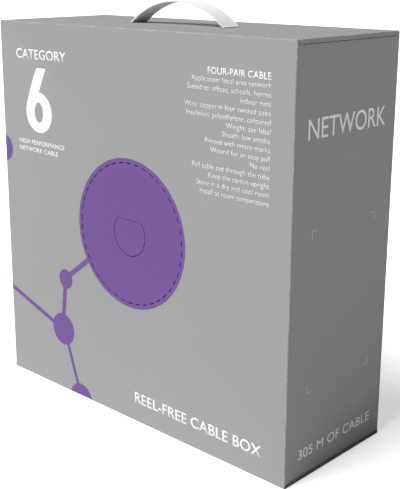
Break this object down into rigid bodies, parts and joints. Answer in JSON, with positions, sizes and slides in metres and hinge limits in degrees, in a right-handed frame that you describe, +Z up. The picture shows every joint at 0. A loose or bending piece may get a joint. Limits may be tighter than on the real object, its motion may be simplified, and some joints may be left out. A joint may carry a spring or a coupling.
{
  "type": "reel-free network cable box",
  "caption": "Corrugated carton that holds a reel-free coil of network cable, with a tuck lid, a strap handle and a perforated knockout disc over a payout tube.",
  "frame": {"origin": "centre of the carton's underside, on the surface it stands on", "axes": "+Z up, -Y towards the front panel with the knockout disc, +X to the right of someone facing that panel"},
  "size_m": [0.4, 0.152, 0.4242],
  "materials": {
    "printed_board": "matte",
    "plain_board": "matte",
    "purple_board": "matte",
    "strap_plastic": "satin",
    "plate_plastic": "matte",
    "cable_jacket": "satin",
    "stretch_film": "gloss",
    "tube_plastic": "satin"
  },
  "bodies": {
    "carton": {"front_panel": "printed_board", "back_panel": "printed_board", "right_side_panel": "printed_board", "left_side_panel": "printed_board", "glue_flap": "plain_board", "bottom_minor_flap_right": "plain_board", "bottom_minor_flap_left": "plain_board", "bottom_major_flap_front": "printed_board", "bottom_major_flap_back": "printed_board", "cable_coil": "cable_jacket", "coil_wrap_film": "stretch_film"},
    "lid": {"lid_panel": "printed_board", "handle_load_plate": "plate_plastic", "handle_strap": "strap_plastic"},
    "tuck_flap": {"lid_tuck_flap": "printed_board"},
    "dust_right": {"dust_flap_right": "plain_board"},
    "dust_left": {"dust_flap_left": "plain_board"},
    "handle_anchor_left": {"handle_end_left": "strap_plastic"},
    "handle_anchor_right": {"handle_end_right": "strap_plastic"},
    "knockout": {"knockout_disc": "purple_board"},
    "tab": {"thumb_tab": "purple_board"},
    "tube": {"payout_tube": "tube_plastic"}
  },
  "joints": [
    {"name": "lid_hinge", "type": "hinge", "parent": "carton", "child": "lid", "pos_m": [0, 0.076, 0.396], "axis": [-1, 0, 0], "range_deg": [0, 180]},
    {"name": "tuck_hinge", "type": "hinge", "parent": "lid", "child": "tuck_flap", "pos_m": [0, -0.0668, 0.396], "axis": [1, 0, 0], "range_deg": [0, 85]},
    {"name": "dust_right_hinge", "type": "hinge", "parent": "carton", "child": "dust_right", "pos_m": [0.2, 0, 0.3917], "axis": [0, 1, 0], "range_deg": [0, 90]},
    {"name": "dust_left_hinge", "type": "hinge", "parent": "carton", "child": "dust_left", "pos_m": [-0.2, 0, 0.3917], "axis": [0, -1, 0], "range_deg": [0, 90]},
    {"name": "handle_left_slide", "type": "slide", "parent": "lid", "child": "handle_anchor_left", "axis": [-1, 0, 0], "range_m": [0, 0.005], "deforming": ["handle_strap"]},
    {"name": "handle_right_slide", "type": "slide", "parent": "lid", "child": "handle_anchor_right", "axis": [1, 0, 0], "range_m": [0, 0.005]},
    {"name": "knockout_slide", "type": "slide", "parent": "carton", "child": "knockout", "axis": [0, -1, 0], "range_m": [0, 0.15]},
    {"name": "thumb_tab_hinge", "type": "hinge", "parent": "knockout", "child": "tab", "pos_m": [0, -0.072, 0.2144], "axis": [1, 0, 0], "range_deg": [0, 90]},
    {"name": "tube_slide", "type": "slide", "parent": "carton", "child": "tube", "axis": [0, -1, 0], "range_m": [0, 0.0075]}
  ],
  "couplings": [
    {"joint": "tuck_hinge", "follows": "lid_hinge", "ratio": 0.47},
    {"joint": "dust_right_hinge", "follows": "lid_hinge", "ratio": 0.5},
    {"joint": "dust_left_hinge", "follows": "lid_hinge", "ratio": 0.5},
    {"joint": "handle_right_slide", "follows": "handle_left_slide", "ratio": 1},
    {"joint": "tube_slide", "follows": "knockout_slide", "ratio": 0.048}
  ]
}
